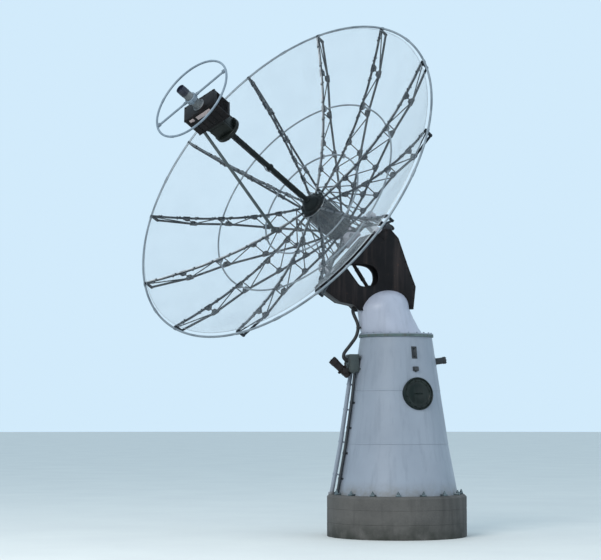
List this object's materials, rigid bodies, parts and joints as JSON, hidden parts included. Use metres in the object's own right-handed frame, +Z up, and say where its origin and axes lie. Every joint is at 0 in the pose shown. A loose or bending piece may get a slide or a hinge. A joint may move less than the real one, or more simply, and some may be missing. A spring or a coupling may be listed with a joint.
{
  "type": "radio telescope dish",
  "caption": "Open wire-mesh paraboloid on radial truss ribs, with a feed on a central boom, on a tilted polar mount above a tapered pedestal.",
  "frame": {"origin": "centre of the plinth's underside, on the ground", "axes": "+Z up, +X north, the way the polar axis rises, -Y east"},
  "size_m": [4.6115, 4.523, 7.1179],
  "materials": {
    "concrete": "matte",
    "pale_paint": "satin",
    "flange_paint": "satin",
    "port_paint": "satin",
    "fitting_paint": "matte",
    "fitting_steel": "satin",
    "fitting_dark": "satin",
    "mount_black": "satin",
    "bearing_grey": "satin",
    "shaft_steel": "satin",
    "hub_dark": "satin",
    "boom_dark": "satin",
    "rib_paint": "satin",
    "ring_grey": "satin",
    "wire_mesh": "satin",
    "feed_black": "satin",
    "feed_ring_grey": "satin"
  },
  "bodies": {
    "pedestal": {"plinth": "concrete", "pedestal_body": "pale_paint", "body_flange": "flange_paint", "neck_dome": "pale_paint", "port_collar": "pale_paint", "port_cover": "port_paint", "junction_box": "fitting_steel", "conduit": "fitting_steel", "cable_riser": "pale_paint", "work_lamp": "fitting_paint", "side_lug": "fitting_steel", "grab_handle": "fitting_steel", "wall_socket": "fitting_dark", "frame_plate_east": "mount_black", "frame_plate_west": "mount_black", "frame_deck": "mount_black", "frame_north_web": "mount_black", "frame_south_web": "mount_black", "frame_crown_web": "mount_black", "frame_brace": "mount_black", "upper_conduit": "fitting_dark", "south_bearing": "bearing_grey", "north_bearing": "bearing_grey", "hour_gearbox": "mount_black"},
    "polar_body": {"polar_axle": "shaft_steel", "polar_yoke": "bearing_grey", "hour_sector": "shaft_steel"},
    "dish": {"declination_axle": "shaft_steel", "hub_base": "bearing_grey", "hub_drum": "hub_dark", "vertex_boss": "boom_dark", "rib_01": "rib_paint", "rib_02": "rib_paint", "rib_03": "rib_paint", "rib_04": "rib_paint", "rib_05": "rib_paint", "rib_06": "rib_paint", "rib_07": "rib_paint", "rib_08": "rib_paint", "rib_09": "rib_paint", "rib_10": "rib_paint", "rib_11": "rib_paint", "rib_12": "rib_paint", "rim_ring": "ring_grey", "mid_ring": "ring_grey", "inner_ring": "ring_grey", "mesh_panel_1": "wire_mesh", "mesh_panel_2": "wire_mesh", "mesh_panel_3": "wire_mesh", "mesh_panel_4": "wire_mesh", "mesh_panel_5": "wire_mesh", "mesh_panel_6": "wire_mesh", "feed_boom": "boom_dark", "feed_strut": "boom_dark", "feed_neck": "feed_black", "feed_box": "feed_black", "feed_ring": "feed_ring_grey", "feed_snout": "feed_ring_grey"}
  },
  "joints": [
    {"name": "hour_angle", "type": "hinge", "parent": "pedestal", "child": "polar_body", "pos_m": [-0.66, 0, 4.155], "axis": [0.6769, 0, 0.7361], "range_deg": [-86, 32]},
    {"name": "declination", "type": "hinge", "parent": "polar_body", "child": "dish", "pos_m": [-0.77394, -0.06714, 4.22579], "axis": [0.3342, -0.891, -0.3073], "range_deg": [-30, 16]}
  ]
}
